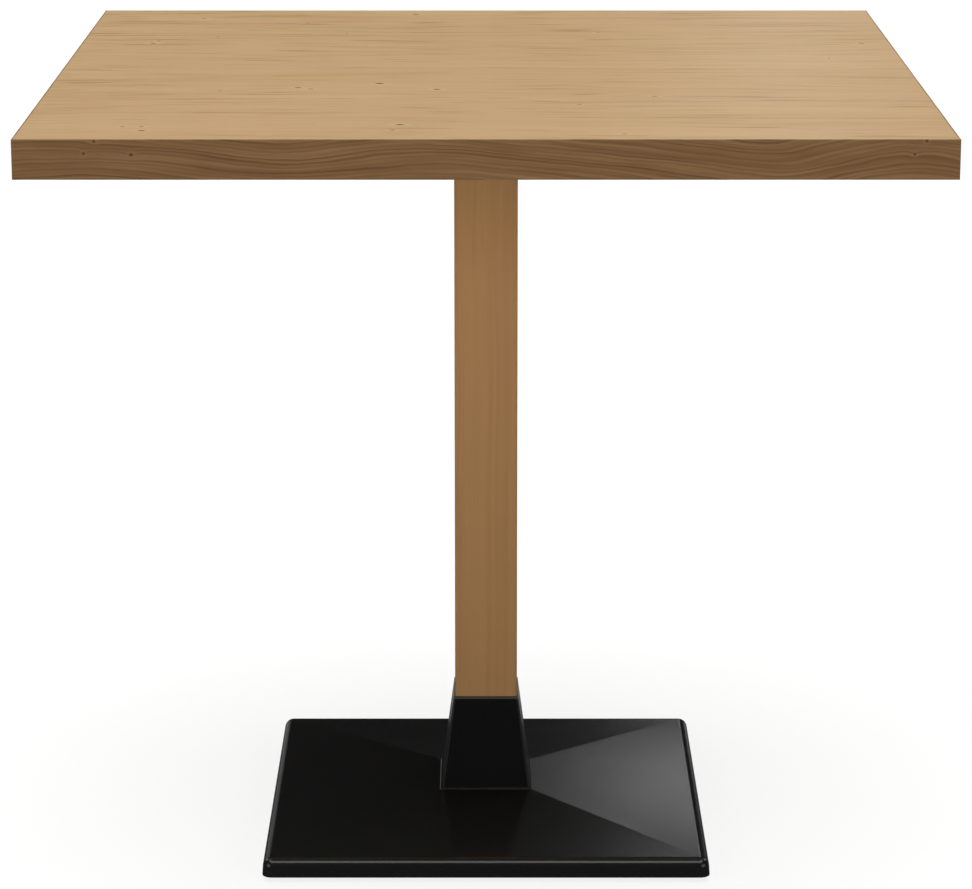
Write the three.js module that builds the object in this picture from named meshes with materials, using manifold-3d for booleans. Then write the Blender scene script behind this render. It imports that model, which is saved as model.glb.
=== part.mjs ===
// Bistro table, 800 mm square and 740 mm high, as a three.js scene graph.
//
// A veneered board top sits on a steel cross. The cross carries a square tube socket, and
// one wooden column stands between that socket and a tapered cast neck on a low pyramid of
// cast iron. A long tie rod runs down the middle of the column and clamps cross, column and
// base together. Four levelling feet screw into the corners of the base.
//
// Millimetres, +Z up, front is -Y. The origin is on the floor, below the middle of the top.

import * as THREE from "three";
import { mergeVertices } from "three/addons/utils/BufferGeometryUtils.js";
import Module from "manifold-3d";

const wasm = await Module();
wasm.setup();

// ---- Driving dimensions ----------------------------------------------------------------

const TABLE_HEIGHT = 740;
const FLOOR_GAP = 5; // from the floor to the rim of the base

const TOP_SIDE = 800;
const TOP_THICKNESS = 34.5;
const VENEER = 0.75;
const BAND = 1.5; // thickness of the edge bands

const COLUMN_SIDE = 60.5;
const COLUMN_ARRIS = 2.5; // radius of its long edges
const COLUMN_BORE_RADIUS = 7.5;
const NUT_POCKET_RADIUS = 12.5; // in the column's head, round the welded nut

const BASE_SIDE = 422;
const RIM_HEIGHT = 17.75; // from the rim's foot to where the slopes begin
const RIM_RADIUS = 9;
const RIM_DRAFT = THREE.MathUtils.degToRad(4);
const PLATFORM_SIDE = 89; // flat square on top of the pyramid
const PLATFORM_RISE = 29.25; // above the rim's foot
const PLATFORM_BEVEL = 0.75;

const NECK_FOOT_SIDE = 86.5;
const NECK_HEAD_SIDE = 63;
const NECK_HEIGHT = 90.75;
const NECK_LIP_HEIGHT = 2.5; // of the rounding round its head
const NECK_LIP_INSET = 0.75;
const NECK_ARRIS = 2;
const SOCKET_CLEARANCE = 0.25; // all round the column, in the neck and in the tube

const CAST_WALL = 7;
const RIM_WALL = 9;
const RIB_WIDTH = 8;
const RIB_START = 62; // from the middle, along the diagonal
const RIB_FOOT = 12; // height of the ribs' lower edges above the floor
const HOLLOW_CORNER = 6; // radius of the hollow's upright corners
const HOLLOW_DRAFT = 1; // how much narrower the hollow is at its top than at its mouth
const HUB_SIDE = 112; // thick square under the platform
const HUB_FOOT = 22;

const FOOT_OFFSET = 165; // of each levelling foot from the middle, in x and in y
const FOOT_THREAD = 10; // length of thread in the boss, when the foot is screwed right in
const BOSS_RADIUS = 11;
const BOSS_FOOT = 10.5;
const PAD_RADIUS = 15;
const PAD_HEIGHT = 5.5;
const STEM_FOOT = 1.75; // the stem's lower end, in the pad's socket
const HEX_FOOT = 6;

const BAR_LENGTH = 560;
const BAR_WIDTH = 40;
const BAR_THICKNESS = 6;
const BAR_SCREW_AT = [110, 250]; // from the middle, along each arm
const BAR_HOLE_RADIUS = 3;
const LAP_GAP = 0.25; // left in the half-lap by the saw
const PLATE_SIDE = 120;
const PLATE_CORNER = 10;
const PLATE_THICKNESS = 6;
const TUBE_SIDE = 70;
const TUBE_CORNER = 5;
const TUBE_DEPTH = 40;

const M12 = { radius: 6, nutAcross: 19, nutHeight: 10, washerRadius: 12, washerThickness: 2.5 };
const ROD_STAND_OUT = 2; // of the tie rod, below its lower nut
const M8 = { radius: 4, nutAcross: 13 };
const M6 = { radius: 3, headRadius: 5, headHeight: 6, keyAcross: 5, keyDepth: 3 };
const NECK_SCREW_OFFSET = 36.5; // from the middle, in x and in y
const NECK_SCREW_DEPTH = 15; // of thread in the neck
const WOOD_SCREW = { radius: 2.5, headRadius: 5.5, headHeight: 3.5, length: 24 };
const THREAD_GAP = 0.3; // radial, between a screw and its hole

const PAST = 1; // how far a cutting shape runs past the face that it opens
const WELD = 1e-4; // corners closer than this are one corner
const ROUND_SIDES = 24; // of a round bar or hole
const SMALL_SIDES = 12; // of one as thin as a wood screw

// ---- Heights that follow from them -----------------------------------------------------

const TOP_FOOT = TABLE_HEIGHT - TOP_THICKNESS;
const BAR_FOOT = TOP_FOOT - BAR_THICKNESS;
const PLATE_FOOT = BAR_FOOT - PLATE_THICKNESS;
const PLATFORM_Z = FLOOR_GAP + PLATFORM_RISE;
const NECK_HEAD_Z = PLATFORM_Z + NECK_HEIGHT;

// ---- Finishes --------------------------------------------------------------------------

function finish(color, roughness, metalness) {
  return new THREE.MeshStandardMaterial({ color, roughness, metalness });
}

const TOP_VENEER = finish(0xc2a277, 0.5, 0);
const BOARD = finish(0xb79a6c, 0.8, 0);
const COLUMN_WOOD = finish(0x916f48, 0.5, 0);
const BLACK_IRON = finish(0x161616, 0.45, 0.3);
const BLACK_STEEL = finish(0x1b1b1c, 0.5, 0.4);
const ZINC = finish(0xb4b6b8, 0.35, 1);
const BLACK_NYLON = finish(0x1e1e1f, 0.6, 0);

// ---- Shape helpers ---------------------------------------------------------------------

const QUARTER = Math.PI / 2;
const UP = new THREE.Vector3(0, 0, 1);

// A block between two corners.
function block(x0, x1, y0, y1, z0, z1) {
  const shape = new THREE.BoxGeometry(x1 - x0, y1 - y0, z1 - z0);
  return shape.translate((x0 + x1) / 2, (y0 + y1) / 2, (z0 + z1) / 2);
}

// An upright round bar.
function rod(radius, z0, z1, x = 0, y = 0, sides = ROUND_SIDES) {
  const shape = new THREE.CylinderGeometry(radius, radius, z1 - z0, sides);
  return shape.rotateX(QUARTER).translate(x, y, (z0 + z1) / 2);
}

// An upright hexagonal bar.
function hexBar(across, z0, z1, x = 0, y = 0) {
  return rod(across / Math.sqrt(3), z0, z1, x, y, 6);
}

// One level of a loft: a square with round corners, seen from above.
function roundedSquare(half, radius, z, steps = 5) {
  const ring = [];
  for (let corner = 0; corner < 4; corner += 1) {
    for (let step = 0; step <= steps; step += 1) {
      const angle = (step / steps) * QUARTER;
      const x = half - radius + radius * Math.cos(angle);
      const y = half - radius + radius * Math.sin(angle);
      ring.push(new THREE.Vector3(x, y, z).applyAxisAngle(UP, corner * QUARTER));
    }
  }
  return ring;
}

// A closed solid through convex levels, listed from the lowest up.
function loft(levels) {
  const count = levels[0].length;
  const index = [];
  for (let level = 0; level + 1 < levels.length; level += 1) {
    for (let i = 0; i < count; i += 1) {
      const a = level * count + i;
      const b = level * count + ((i + 1) % count);
      index.push(a, b, b + count, a, b + count, a + count);
    }
  }
  const top = (levels.length - 1) * count;
  for (let i = 1; i + 1 < count; i += 1) {
    index.push(0, i + 1, i);
    index.push(top, top + i, top + i + 1);
  }
  const shape = new THREE.BufferGeometry().setFromPoints(levels.flat());
  return shape.setIndex(index);
}

// An upright square bar with round corners, about the middle.
function squareBar(side, corner, z0, z1) {
  return loft([roundedSquare(side / 2, corner, z0), roundedSquare(side / 2, corner, z1)]);
}

// A geometry as a solid that can be cut and joined.
function toSolid(geometry) {
  const bare = geometry.index ? geometry.toNonIndexed() : geometry.clone();
  bare.deleteAttribute("normal");
  bare.deleteAttribute("uv");
  const merged = mergeVertices(bare, WELD);
  const index = merged.index.array;
  const triVerts = [];
  for (let i = 0; i < index.length; i += 3) {
    const [a, b, c] = [index[i], index[i + 1], index[i + 2]];
    if (a !== b && b !== c && c !== a) triVerts.push(a, b, c);
  }
  const mesh = new wasm.Mesh({
    numProp: 3,
    vertProperties: merged.attributes.position.array,
    triVerts: new Uint32Array(triVerts),
  });
  return new wasm.Manifold(mesh);
}

function toGeometry(solid) {
  const mesh = solid.getMesh();
  const shape = new THREE.BufferGeometry();
  shape.setAttribute("position", new THREE.BufferAttribute(mesh.vertProperties, 3));
  shape.setIndex(new THREE.BufferAttribute(mesh.triVerts, 1));
  return shape;
}

function cut(whole, ...tools) {
  return toGeometry(tools.reduce((left, tool) => left.subtract(toSolid(tool)), toSolid(whole)));
}

function join(first, ...others) {
  return toGeometry(others.reduce((sum, other) => sum.add(toSolid(other)), toSolid(first)));
}

const table = new THREE.Group();

function add(name, geometry, material) {
  const mesh = new THREE.Mesh(geometry, material);
  mesh.name = name;
  table.add(mesh);
}

// ---- Places that repeat ----------------------------------------------------------------

// The two bars lie on the diagonals, so an arm points at each corner of the top.
const ARM_ANGLES = [225, 315, 45, 135].map(THREE.MathUtils.degToRad);
const topScrews = ARM_ANGLES.flatMap((angle) =>
  BAR_SCREW_AT.map((reach) => ({ x: reach * Math.cos(angle), y: reach * Math.sin(angle) })),
);
const CORNERS = [
  { name: "front_left", x: -1, y: -1 },
  { name: "front_right", x: 1, y: -1 },
  { name: "back_right", x: 1, y: 1 },
  { name: "back_left", x: -1, y: 1 },
];

// ---- Top: board core, veneer on both faces and a band on each edge ---------------------

const half = TOP_SIDE / 2;
const inner = half - BAND;
const coreFoot = TOP_FOOT + VENEER;
const coreHead = TABLE_HEIGHT - VENEER;
const screwTip = BAR_FOOT + WOOD_SCREW.length;
const pilotRadius = WOOD_SCREW.radius + THREAD_GAP;
const pilotHoles = topScrews.map(({ x, y }) =>
  rod(pilotRadius, TOP_FOOT - PAST, screwTip + PAST, x, y, SMALL_SIDES),
);
const layer = (z0, z1) => block(-inner, inner, -inner, inner, z0, z1);

add("top_core", cut(layer(coreFoot, coreHead), ...pilotHoles), BOARD);
add("top_face_veneer", layer(coreHead, TABLE_HEIGHT), TOP_VENEER);
add("top_backing_veneer", cut(layer(TOP_FOOT, coreFoot), ...pilotHoles), TOP_VENEER);
add("edge_band_front", block(-half, half, -half, -inner, TOP_FOOT, TABLE_HEIGHT), TOP_VENEER);
add("edge_band_back", block(-half, half, inner, half, TOP_FOOT, TABLE_HEIGHT), TOP_VENEER);
add("edge_band_left", block(-half, -inner, -inner, inner, TOP_FOOT, TABLE_HEIGHT), TOP_VENEER);
add("edge_band_right", block(inner, half, -inner, inner, TOP_FOOT, TABLE_HEIGHT), TOP_VENEER);

// ---- Steel cross: two half-lapped bars, hub plate, tube socket and welded nut ----------

// A flat bar with round ends, along x, with its screw holes.
function crossBar() {
  const round = BAR_WIDTH / 2;
  const straight = BAR_LENGTH / 2 - round;
  const outline = new THREE.Shape();
  outline.moveTo(-straight, -round);
  outline.lineTo(straight, -round);
  outline.absarc(straight, 0, round, -QUARTER, QUARTER, false);
  outline.lineTo(-straight, round);
  outline.absarc(-straight, 0, round, QUARTER, 3 * QUARTER, false);
  const extrusion = { depth: BAR_THICKNESS, bevelEnabled: false, curveSegments: 8 };
  const bar = new THREE.ExtrudeGeometry(outline, extrusion).translate(0, 0, BAR_FOOT);
  const reaches = BAR_SCREW_AT.flatMap((reach) => [-reach, reach]);
  const holes = reaches.map((x) =>
    rod(BAR_HOLE_RADIUS, BAR_FOOT - PAST, TOP_FOOT + PAST, x, 0, SMALL_SIDES),
  );
  return cut(bar, ...holes);
}

// The notch is half the bar's thickness deep, at the middle, over or under the other bar.
function lappedBar(notchOnTop, angle) {
  const wide = BAR_WIDTH / 2 + LAP_GAP;
  const middle = BAR_FOOT + BAR_THICKNESS / 2;
  const depth = notchOnTop ? [middle - LAP_GAP, TOP_FOOT + PAST] : [BAR_FOOT - PAST, middle];
  const notch = block(-wide, wide, -wide, wide, ...depth);
  return cut(crossBar(), notch).rotateZ(angle);
}

add("mounting_bar_lower", lappedBar(true, QUARTER / 2), BLACK_STEEL);
add("mounting_bar_upper", lappedBar(false, -QUARTER / 2), BLACK_STEEL);

const rodHole = rod(M12.radius + THREAD_GAP, 0, TABLE_HEIGHT);
add("hub_plate", cut(squareBar(PLATE_SIDE, PLATE_CORNER, PLATE_FOOT, BAR_FOOT), rodHole), BLACK_STEEL);

const tubeFoot = PLATE_FOOT - TUBE_DEPTH;
const socketSide = COLUMN_SIDE + 2 * SOCKET_CLEARANCE;
const socketSpace = (z0, z1) => squareBar(socketSide, COLUMN_ARRIS, z0 - PAST, z1 + PAST);
const tube = squareBar(TUBE_SIDE, TUBE_CORNER, tubeFoot, PLATE_FOOT);
add("column_socket", cut(tube, socketSpace(tubeFoot, PLATE_FOOT)), BLACK_STEEL);

const hubNutFoot = PLATE_FOOT - M12.nutHeight;
add("hub_nut", cut(hexBar(M12.nutAcross, hubNutFoot, PLATE_FOOT), rodHole), ZINC);

topScrews.forEach(({ x, y }, i) => {
  const head = rod(WOOD_SCREW.headRadius, BAR_FOOT - WOOD_SCREW.headHeight, BAR_FOOT, x, y);
  const shank = rod(WOOD_SCREW.radius, BAR_FOOT, screwTip, x, y, SMALL_SIDES);
  add(`top_screw_${i + 1}`, join(head, shank), ZINC);
});

// ---- Column and the tie rod down its middle --------------------------------------------

const columnBar = squareBar(COLUMN_SIDE, COLUMN_ARRIS, PLATFORM_Z, PLATE_FOOT);
const columnBore = rod(COLUMN_BORE_RADIUS, PLATFORM_Z - PAST, PLATE_FOOT + PAST);
const nutPocket = rod(NUT_POCKET_RADIUS, hubNutFoot - PAST, PLATE_FOOT + PAST);
add("column", cut(columnBar, columnBore, nutPocket), COLUMN_WOOD);

const baseWasherFoot = HUB_FOOT - M12.washerThickness;
const baseNutFoot = baseWasherFoot - M12.nutHeight;
add("tie_rod", rod(M12.radius, baseNutFoot - ROD_STAND_OUT, BAR_FOOT), ZINC);
add("base_washer", cut(rod(M12.washerRadius, baseWasherFoot, HUB_FOOT), rodHole), ZINC);
add("base_nut", cut(hexBar(M12.nutAcross, baseNutFoot, baseWasherFoot), rodHole), ZINC);

// ---- Neck: a tapered casting with a straight square socket for the column --------------

const neckTaper = (NECK_FOOT_SIDE - NECK_HEAD_SIDE) / 2 / NECK_HEIGHT;
const neckHalfAt = (z) => NECK_FOOT_SIDE / 2 - neckTaper * (z - PLATFORM_Z);

function neckOutside() {
  const lipFoot = NECK_HEAD_Z - NECK_LIP_HEIGHT;
  const levels = [roundedSquare(neckHalfAt(PLATFORM_Z), NECK_ARRIS, PLATFORM_Z)];
  const steps = 4;
  for (let step = 0; step <= steps; step += 1) {
    const angle = (step / steps) * QUARTER;
    const inset = NECK_LIP_INSET * (1 - Math.cos(angle));
    const z = lipFoot + NECK_LIP_HEIGHT * Math.sin(angle);
    levels.push(roundedSquare(neckHalfAt(lipFoot) - inset, NECK_ARRIS, z));
  }
  return loft(levels);
}

const neckScrews = CORNERS.map(({ x, y }) => ({ x: x * NECK_SCREW_OFFSET, y: y * NECK_SCREW_OFFSET }));
const neckScrewTip = PLATFORM_Z + NECK_SCREW_DEPTH;
const neckScrewHoles = neckScrews.map(({ x, y }) =>
  rod(M6.radius + THREAD_GAP, HUB_FOOT - PAST, neckScrewTip + PAST, x, y, SMALL_SIDES),
);
add("neck", cut(neckOutside(), socketSpace(PLATFORM_Z, NECK_HEAD_Z), ...neckScrewHoles), BLACK_IRON);

neckScrews.forEach(({ x, y }, i) => {
  const headFoot = HUB_FOOT - M6.headHeight;
  const head = rod(M6.headRadius, headFoot, HUB_FOOT, x, y);
  const shank = rod(M6.radius, HUB_FOOT, neckScrewTip, x, y, SMALL_SIDES);
  const key = hexBar(M6.keyAcross, headFoot - PAST, headFoot + M6.keyDepth, x, y);
  add(`neck_screw_${i + 1}`, cut(join(head, shank), key), ZINC);
});

// ---- Base: one hollow iron casting, a low pyramid with a rounded rim -------------------

const rimTop = FLOOR_GAP + RIM_HEIGHT;
const arcFoot = rimTop - RIM_RADIUS; // where the rim's upright side meets its round edge
const draft = Math.tan(RIM_DRAFT) * (arcFoot - FLOOR_GAP);
const slopeStart = BASE_SIDE / 2 - draft - RIM_RADIUS; // half side of the square round the slopes
const slope = (PLATFORM_Z - rimTop) / (slopeStart - PLATFORM_SIDE / 2);

// Height of the sloping faces at a distance from the middle, square to the side.
const surfaceAt = (reach) => rimTop + slope * (slopeStart - reach);

function pyramidOutside() {
  const cornerSteps = 8;
  const level = (half, radius, z) => roundedSquare(half, radius, z, cornerSteps);
  const levels = [level(BASE_SIDE / 2, RIM_RADIUS + draft, FLOOR_GAP)];
  const steps = 8;
  for (let step = 0; step <= steps; step += 1) {
    const angle = (step / steps) * QUARTER;
    const radius = RIM_RADIUS * Math.cos(angle);
    levels.push(level(slopeStart + radius, radius, arcFoot + RIM_RADIUS * Math.sin(angle)));
  }
  const bevelHalf = PLATFORM_SIDE / 2 + PLATFORM_BEVEL;
  levels.push(level(bevelHalf, 0, surfaceAt(bevelHalf)), level(PLATFORM_SIDE / 2, 0, PLATFORM_Z));
  return loft(levels);
}

// The hollow under the slopes, left out where the hub, ribs and corner bosses stand.
function pyramidHollow() {
  const wide = BASE_SIDE / 2 - RIM_WALL;
  const crown = HUB_SIDE / 2 - CAST_WALL;
  const hollow = loft([
    roundedSquare(wide, HOLLOW_CORNER, FLOOR_GAP - PAST),
    roundedSquare(wide - HOLLOW_DRAFT, HOLLOW_CORNER, surfaceAt(wide) - CAST_WALL),
    roundedSquare(crown, HOLLOW_CORNER, surfaceAt(crown) - CAST_WALL),
  ]);
  const hubHalf = HUB_SIDE / 2;
  const hub = block(-hubHalf, hubHalf, -hubHalf, hubHalf, HUB_FOOT, PLATFORM_Z);
  const ribEnd = FOOT_OFFSET * Math.SQRT2;
  const rib = block(RIB_START, ribEnd, -RIB_WIDTH / 2, RIB_WIDTH / 2, RIB_FOOT, PLATFORM_Z);
  const ribs = ARM_ANGLES.map((angle) => rib.clone().rotateZ(angle));
  const bosses = CORNERS.map(({ x, y }) =>
    rod(BOSS_RADIUS, BOSS_FOOT, PLATFORM_Z, x * FOOT_OFFSET, y * FOOT_OFFSET),
  );
  return cut(hollow, hub, ...ribs, ...bosses);
}

const footTip = BOSS_FOOT + FOOT_THREAD;
const footHoles = CORNERS.map(({ x, y }) =>
  rod(M8.radius + THREAD_GAP, BOSS_FOOT - PAST, footTip + PAST, x * FOOT_OFFSET, y * FOOT_OFFSET),
);
const casting = cut(pyramidOutside(), pyramidHollow(), rodHole, ...neckScrewHoles, ...footHoles);
add("base_casting", casting, BLACK_IRON);

// ---- Levelling feet: a stem that turns in its boss, and the pad that it turns in -------

function padProfile() {
  const bevel = 1;
  const shoulderRadius = 7.5;
  const socketRadius = M8.radius + THREAD_GAP;
  const socketFloor = STEM_FOOT - SOCKET_CLEARANCE;
  const corners = [
    [0, 0],
    [PAD_RADIUS - bevel, 0],
    [PAD_RADIUS, bevel],
    [PAD_RADIUS, PAD_HEIGHT / 2],
    [shoulderRadius, PAD_HEIGHT],
    [socketRadius, PAD_HEIGHT],
    [socketRadius, socketFloor],
    [0, socketFloor],
  ];
  return corners.map(([radius, z]) => new THREE.Vector2(radius, z));
}

for (const { name, x, y } of CORNERS) {
  const place = [x * FOOT_OFFSET, y * FOOT_OFFSET];
  const pad = new THREE.LatheGeometry(padProfile(), ROUND_SIDES).rotateX(QUARTER);
  add(`leveller_pad_${name}`, pad.translate(...place, 0), BLACK_NYLON);
  const tail = rod(M8.radius, STEM_FOOT, HEX_FOOT, ...place);
  const hex = hexBar(M8.nutAcross, HEX_FOOT, BOSS_FOOT, ...place);
  const thread = rod(M8.radius, BOSS_FOOT, footTip, ...place);
  add(`leveller_stem_${name}`, join(tail, hex, thread), ZINC);
}

export default table;
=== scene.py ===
import math
import bmesh
import bpy
from mathutils import Matrix, Vector


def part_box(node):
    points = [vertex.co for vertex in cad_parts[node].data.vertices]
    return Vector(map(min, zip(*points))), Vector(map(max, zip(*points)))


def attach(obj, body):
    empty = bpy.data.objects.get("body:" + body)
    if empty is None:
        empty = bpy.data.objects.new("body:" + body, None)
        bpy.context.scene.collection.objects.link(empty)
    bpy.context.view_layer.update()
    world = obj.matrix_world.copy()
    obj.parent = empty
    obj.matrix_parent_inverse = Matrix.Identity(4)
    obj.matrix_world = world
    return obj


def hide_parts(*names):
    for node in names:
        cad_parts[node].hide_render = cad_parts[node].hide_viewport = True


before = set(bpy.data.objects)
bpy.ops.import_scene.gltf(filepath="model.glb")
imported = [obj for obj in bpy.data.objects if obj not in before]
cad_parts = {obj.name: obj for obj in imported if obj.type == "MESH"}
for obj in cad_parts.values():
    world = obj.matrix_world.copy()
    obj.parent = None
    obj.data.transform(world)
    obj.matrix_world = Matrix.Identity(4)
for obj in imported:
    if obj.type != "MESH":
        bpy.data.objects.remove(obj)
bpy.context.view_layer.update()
MM = 0.001

# ---------------------------------------------------------------- Camera
# A long lens a few metres in front of the table and a little above its top,
# so that the front edge, the column and all of the base are in view.
CAMERA_DISTANCE = 3462.4 * MM
CAMERA_HEIGHT = 1265.5 * MM
CAMERA_DIP = math.radians(14.473)
camera_data = bpy.data.cameras.new("camera")
camera_data.sensor_width = 36
camera_data.lens = 136.34
camera = bpy.data.objects.new("camera", camera_data)
camera.location = (0, -CAMERA_DISTANCE, CAMERA_HEIGHT)
camera.rotation_euler = (math.radians(90) - CAMERA_DIP, 0, 0)
bpy.context.scene.collection.objects.link(camera)
bpy.context.scene.camera = camera
bpy.context.scene.view_settings.view_transform = "Standard"

# ---------------------------------------------------------------- Floor
# A plain white sweep, lit from within so that the shadow on it stays pale. Gloss
# meets a dimmer floor that grows brighter behind the table. Light from below
# passes through it, and so does a view from below.


def add_node(tree, kind, inputs=None, **settings):
    """Adds a shader node. An input given as a socket is linked, and anything else is its value."""
    node = tree.nodes.new("ShaderNode" + kind)
    for name, value in settings.items():
        setattr(node, name, value)
    for name, value in (inputs or {}).items():
        if isinstance(value, bpy.types.NodeSocket):
            tree.links.new(value, node.inputs[name])
        else:
            node.inputs[name].default_value = value
    return node


def link_object(name, data):
    thing = bpy.data.objects.new(name, data)
    bpy.context.scene.collection.objects.link(thing)
    return thing


WHITE = (1, 1, 1, 1)
FLOOR_REACH = 40
floor_mesh = bpy.data.meshes.new("floor")
floor_corners = [(-1, -1), (1, -1), (1, 1), (-1, 1)]
floor_mesh.from_pydata([(x * FLOOR_REACH, y * FLOOR_REACH, 0) for x, y in floor_corners], [], [(0, 1, 2, 3)])
floor = link_object("floor", floor_mesh)
floor_paint = bpy.data.materials.new("floor_white")
floor_paint.use_nodes = True
tree = floor_paint.node_tree
tree.nodes.clear()
matt = add_node(tree, "BsdfDiffuse", {"Color": (0.17, 0.17, 0.17, 1)}).outputs[0]
glow = add_node(tree, "Emission", {"Color": WHITE, "Strength": 0.84}).outputs[0]
lit = add_node(tree, "AddShader", {0: matt, 1: glow}).outputs[0]
bounce = add_node(tree, "BsdfDiffuse", {"Color": (0.35, 0.35, 0.35, 1)}).outputs[0]
place = add_node(tree, "TexCoord").outputs["Object"]
back = add_node(tree, "SeparateXYZ", {0: place}).outputs["Y"]
fade_range = {"From Min": 250 * MM, "From Max": 700 * MM, "To Min": 0.06, "To Max": 0.8}
fade = add_node(tree, "MapRange", {"Value": back, **fade_range}).outputs["Result"]
mirrored = add_node(tree, "Emission", {"Color": WHITE, "Strength": fade}).outputs[0]
path = add_node(tree, "LightPath").outputs
indirect = add_node(tree, "MixShader", {0: path["Is Glossy Ray"], 1: bounce, 2: mirrored}).outputs[0]
shown = add_node(tree, "MixShader", {0: path["Is Camera Ray"], 1: indirect, 2: lit}).outputs[0]
clear = add_node(tree, "BsdfTransparent").outputs[0]
below = add_node(tree, "NewGeometry").outputs["Backfacing"]
gone = add_node(tree, "Math", {0: below, 1: path["Is Shadow Ray"]}, operation="MAXIMUM").outputs[0]
sheet = add_node(tree, "MixShader", {0: gone, 1: shown, 2: clear}).outputs[0]
add_node(tree, "OutputMaterial", {"Surface": sheet})
floor_mesh.materials.append(floor_paint)

# ---------------------------------------------------------------- Studio light
# A round overhead light with a soft edge in a dim room, a strip light and a weak
# softbox low behind the table, two wide fills in front, two fills higher behind
# and one fill under the floor.
world = bpy.data.worlds.new("studio")
bpy.context.scene.world = world
world.use_nodes = True
tree = world.node_tree
tree.nodes.clear()
KEY_TILT = math.radians(5)
KEY_RADIUS = math.radians(27)
KEY_SOFTNESS = math.radians(4)
KEY_RADIANCE = 5.2
ROOM_RADIANCE = 0.02
direction = add_node(tree, "TexCoord").outputs["Generated"]
towards_key = (0, -math.sin(KEY_TILT), math.cos(KEY_TILT))
agree = add_node(tree, "VectorMath", {0: direction, 1: towards_key}, operation="DOT_PRODUCT").outputs["Value"]
key_limits = {
    "From Min": math.cos(KEY_RADIUS + KEY_SOFTNESS),
    "From Max": math.cos(KEY_RADIUS - KEY_SOFTNESS),
}
key_range = {"Value": agree, **key_limits, "To Min": ROOM_RADIANCE, "To Max": KEY_RADIANCE}
overhead = add_node(tree, "MapRange", key_range, interpolation_type="SMOOTHSTEP").outputs["Result"]
lights = add_node(tree, "Background", {"Color": WHITE, "Strength": overhead}).outputs[0]
backdrop = add_node(tree, "Background", {"Color": WHITE, "Strength": 1.0}).outputs[0]
seen = add_node(tree, "LightPath").outputs["Is Camera Ray"]
room = add_node(tree, "MixShader", {0: seen, 1: lights, 2: backdrop}).outputs[0]
add_node(tree, "OutputWorld", {"Surface": room})


def softbox(name, azimuth, elevation, width, height, radiance, distance=6):
    """An area light aimed at the column. Azimuth 0 is behind the table and 90 is on its right."""
    light = bpy.data.lights.new(name, "AREA")
    light.shape = "RECTANGLE"
    light.size = width
    light.size_y = height
    light.energy = radiance * math.pi * width * height
    box = link_object(name, light)
    turn, rise = math.radians(azimuth), math.radians(elevation)
    out = Vector((math.sin(turn) * math.cos(rise), math.cos(turn) * math.cos(rise), math.sin(rise)))
    box.location = Vector((0, 0, 200 * MM)) + out * distance
    box.rotation_euler = out.to_track_quat("Z", "Y").to_euler()
    box.visible_camera = False


softbox("back_strip", azimuth=7.6, elevation=18.4, width=0.46, height=0.7, radiance=2.3)
softbox("left_softbox", azimuth=-24, elevation=8, width=1.8, height=1.5, radiance=0.28)
softbox("front_left_fill", azimuth=-135, elevation=12, width=4.6, height=2.6, radiance=2.34)
softbox("front_right_fill", azimuth=135, elevation=12, width=4.6, height=2.6, radiance=2.34)
softbox("back_left_fill", azimuth=-48, elevation=27, width=1.5, height=1.5, radiance=5.0)
softbox("back_right_fill", azimuth=48, elevation=27, width=1.5, height=1.5, radiance=5.0)
softbox("under_fill", azimuth=35, elevation=-62, width=2.0, height=2.0, radiance=4.0, distance=2.4)

# ---------------------------------------------------------------- Base casting
# One grey-iron casting, a low pyramid with a round-edged rim, hollow and ribbed
# underneath. It is fettled, drilled and tapped, and then powder coated black.
# In the hollow the coat is painted paler, as painted light where little light reaches.


def level(half, radius, height, steps=8):
    """One level of a loft: a square with round corners, as points in order round it."""
    points = []
    for quarter, (sx, sy) in enumerate([(1, 1), (-1, 1), (-1, -1), (1, -1)]):
        for step in range(steps + 1):
            angle = (quarter + step / steps) * math.pi / 2
            x = sx * (half - radius) + radius * math.cos(angle)
            y = sy * (half - radius) + radius * math.sin(angle)
            points.append((x, y, height))
    return points


def loft(levels, ring_shaped=False):
    """A closed skin through the levels. A ring-shaped one joins its last level to its first."""
    shape = bmesh.new()
    rings = [[shape.verts.new(point) for point in points] for points in levels]
    count = len(rings[0])
    pairs = list(zip(rings, rings[1:]))
    if ring_shaped:
        pairs.append((rings[-1], rings[0]))
    else:
        shape.faces.new(rings[0][::-1])
        shape.faces.new(rings[-1])
    for low, high in pairs:
        for i in range(count):
            after = (i + 1) % count
            shape.faces.new((low[i], low[after], high[after], high[i]))
    bmesh.ops.remove_doubles(shape, verts=shape.verts, dist=1e-6)
    return shape


def make_piece(name, shape, crease=28):
    """Turns a shape into an object that is smooth except across its sharp edges."""
    bmesh.ops.recalc_face_normals(shape, faces=shape.faces)
    for face in shape.faces:
        face.smooth = True
    for edge in shape.edges:
        edge.smooth = edge.calc_face_angle(0) < math.radians(crease)
    mesh = bpy.data.meshes.new(name)
    shape.to_mesh(mesh)
    shape.free()
    piece = link_object(name, mesh)
    weights = piece.modifiers.new("even_shading", "WEIGHTED_NORMAL")
    weights.keep_sharp = True
    return piece


def cut_away(shape, tools):
    """Cuts the tool shapes out of a shape."""
    whole = make_piece("whole", shape)
    whole.modifiers.clear()
    knives = [make_piece("knife", tool) for tool in tools]
    for knife in knives:
        knife.modifiers.clear()
        cut = whole.modifiers.new("cut", "BOOLEAN")
        cut.operation = "DIFFERENCE"
        cut.solver = "EXACT"
        cut.object = knife
    result = bmesh.new()
    result.from_object(whole, bpy.context.evaluated_depsgraph_get())
    for used in [whole, *knives]:
        bpy.data.objects.remove(used)
    bmesh.ops.remove_doubles(result, verts=result.verts, dist=1e-6)
    return result


def move(shape, x=0, y=0, turn=0):
    """Turns a shape about the upright axis and then moves it sideways."""
    shape.transform(Matrix.Translation((x, y, 0)) @ Matrix.Rotation(turn, 4, "Z"))
    return shape


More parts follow.
